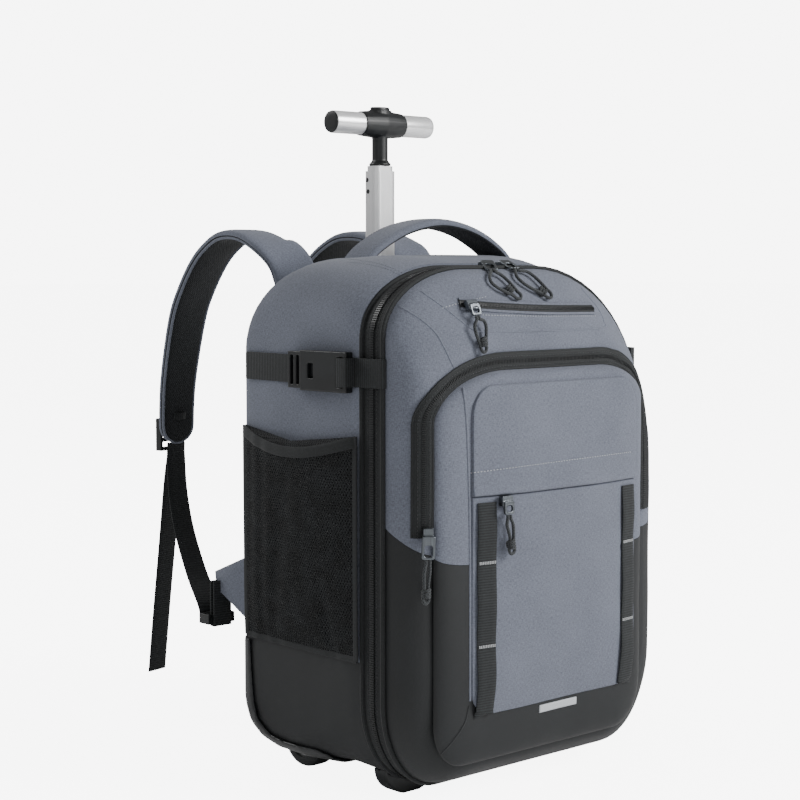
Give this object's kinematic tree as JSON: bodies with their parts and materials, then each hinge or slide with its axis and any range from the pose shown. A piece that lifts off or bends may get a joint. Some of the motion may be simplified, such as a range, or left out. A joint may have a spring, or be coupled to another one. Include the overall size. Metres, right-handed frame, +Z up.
{
  "type": "wheeled backpack",
  "caption": "Soft backpack with a front pocket, side mesh pockets, padded shoulder straps, corner wheels and a telescopic pole with a T-shaped grip.",
  "frame": {"origin": "middle of the bottom of the box of all but the zip pull cords, on the floor that the wheels and feet stand on", "axes": "+Z up along the pole, the bag's front towards -Y and its shoulder straps towards +Y, +X to the right of someone facing the front"},
  "size_m": [0.376, 0.511, 0.635],
  "materials": {
    "grey_cloth": "woven heather cloth, matt",
    "black_cloth": "coarse woven cloth, matt",
    "black_webbing": "ribbed webbing and zip tape",
    "black_mesh": "open mesh",
    "black_plastic": "satin moulded",
    "wheel_rubber": "moulded wheel",
    "aluminium": "bright polished",
    "zip_metal": "gunmetal plated",
    "pull_cord": "braided cord"
  },
  "bodies": {
    "bag": {"rear_shell": "grey_cloth", "rear_base": "black_cloth", "main_zip_band": "black_webbing", "front_shell": "grey_cloth", "front_base": "black_cloth", "pocket_shell": "grey_cloth", "pocket_base": "black_cloth", "pocket_zip_band": "black_webbing", "front_flap": "grey_cloth", "front_panel": "grey_cloth", "daisy_webbing_left": "black_webbing", "daisy_webbing_right": "black_webbing", "quick_pocket_zip": "black_webbing", "top_handle": "grey_cloth", "back_panel": "black_mesh", "pole_sleeve": "black_plastic", "mesh_pocket_left": "black_mesh", "strap_rear_left": "black_webbing", "buckle_male_left": "black_plastic", "buckle_female_left": "black_plastic", "strap_front_left": "black_webbing", "shoulder_strap_left": "grey_cloth", "ladder_lock_left": "black_plastic", "adjust_webbing_left": "black_webbing", "lower_hook_left": "black_plastic", "anchor_tab_left": "grey_cloth", "corner_guard_left": "black_plastic", "foot_left": "black_plastic", "mesh_pocket_right": "black_mesh", "strap_rear_right": "black_webbing", "buckle_male_right": "black_plastic", "buckle_female_right": "black_plastic", "strap_front_right": "black_webbing", "shoulder_strap_right": "grey_cloth", "ladder_lock_right": "black_plastic", "adjust_webbing_right": "black_webbing", "lower_hook_right": "black_plastic", "anchor_tab_right": "grey_cloth", "corner_guard_right": "black_plastic", "foot_right": "black_plastic", "zip_pull_main_left": "zip_metal", "zip_cord_main_left": "pull_cord", "zip_pull_main_right": "zip_metal", "zip_cord_main_right": "pull_cord", "zip_pull_quick": "zip_metal", "zip_cord_quick": "pull_cord", "zip_pull_pocket": "zip_metal", "zip_cord_pocket": "pull_cord", "zip_pull_lower": "zip_metal", "zip_cord_lower": "pull_cord"},
    "pole_lower": {"pole_tube_lower": "aluminium"},
    "pole_upper": {"pole_tube_upper": "aluminium", "handle_hub": "black_plastic", "grip_tube_left": "aluminium", "grip_tube_right": "aluminium", "grip_cap_left": "black_plastic", "grip_cap_right": "black_plastic"},
    "button": {"release_button": "black_plastic"},
    "wheel_left": {"wheel_left": "wheel_rubber"},
    "wheel_right": {"wheel_right": "wheel_rubber"}
  },
  "joints": [
    {"name": "pole_lower_slide", "type": "slide", "parent": "bag", "child": "pole_lower", "axis": [0, 0, 1], "range_m": [-0.105, 0.2]},
    {"name": "pole_upper_slide", "type": "slide", "parent": "pole_lower", "child": "pole_upper", "axis": [0, 0, 1], "range_m": [0, 0.22]},
    {"name": "release_press", "type": "slide", "parent": "pole_upper", "child": "button", "axis": [0, 0, 1], "range_m": [-0.003, 0], "stiffness_N_per_m": 500, "springref_m": 0.002},
    {"name": "wheel_left_spin", "type": "hinge", "parent": "bag", "child": "wheel_left", "pos_m": [-0.118, -0.0311, 0.03], "axis": [1, 0, 0], "continuous": true},
    {"name": "wheel_right_spin", "type": "hinge", "parent": "bag", "child": "wheel_right", "pos_m": [0.118, -0.0311, 0.03], "axis": [1, 0, 0], "continuous": true}
  ]
}
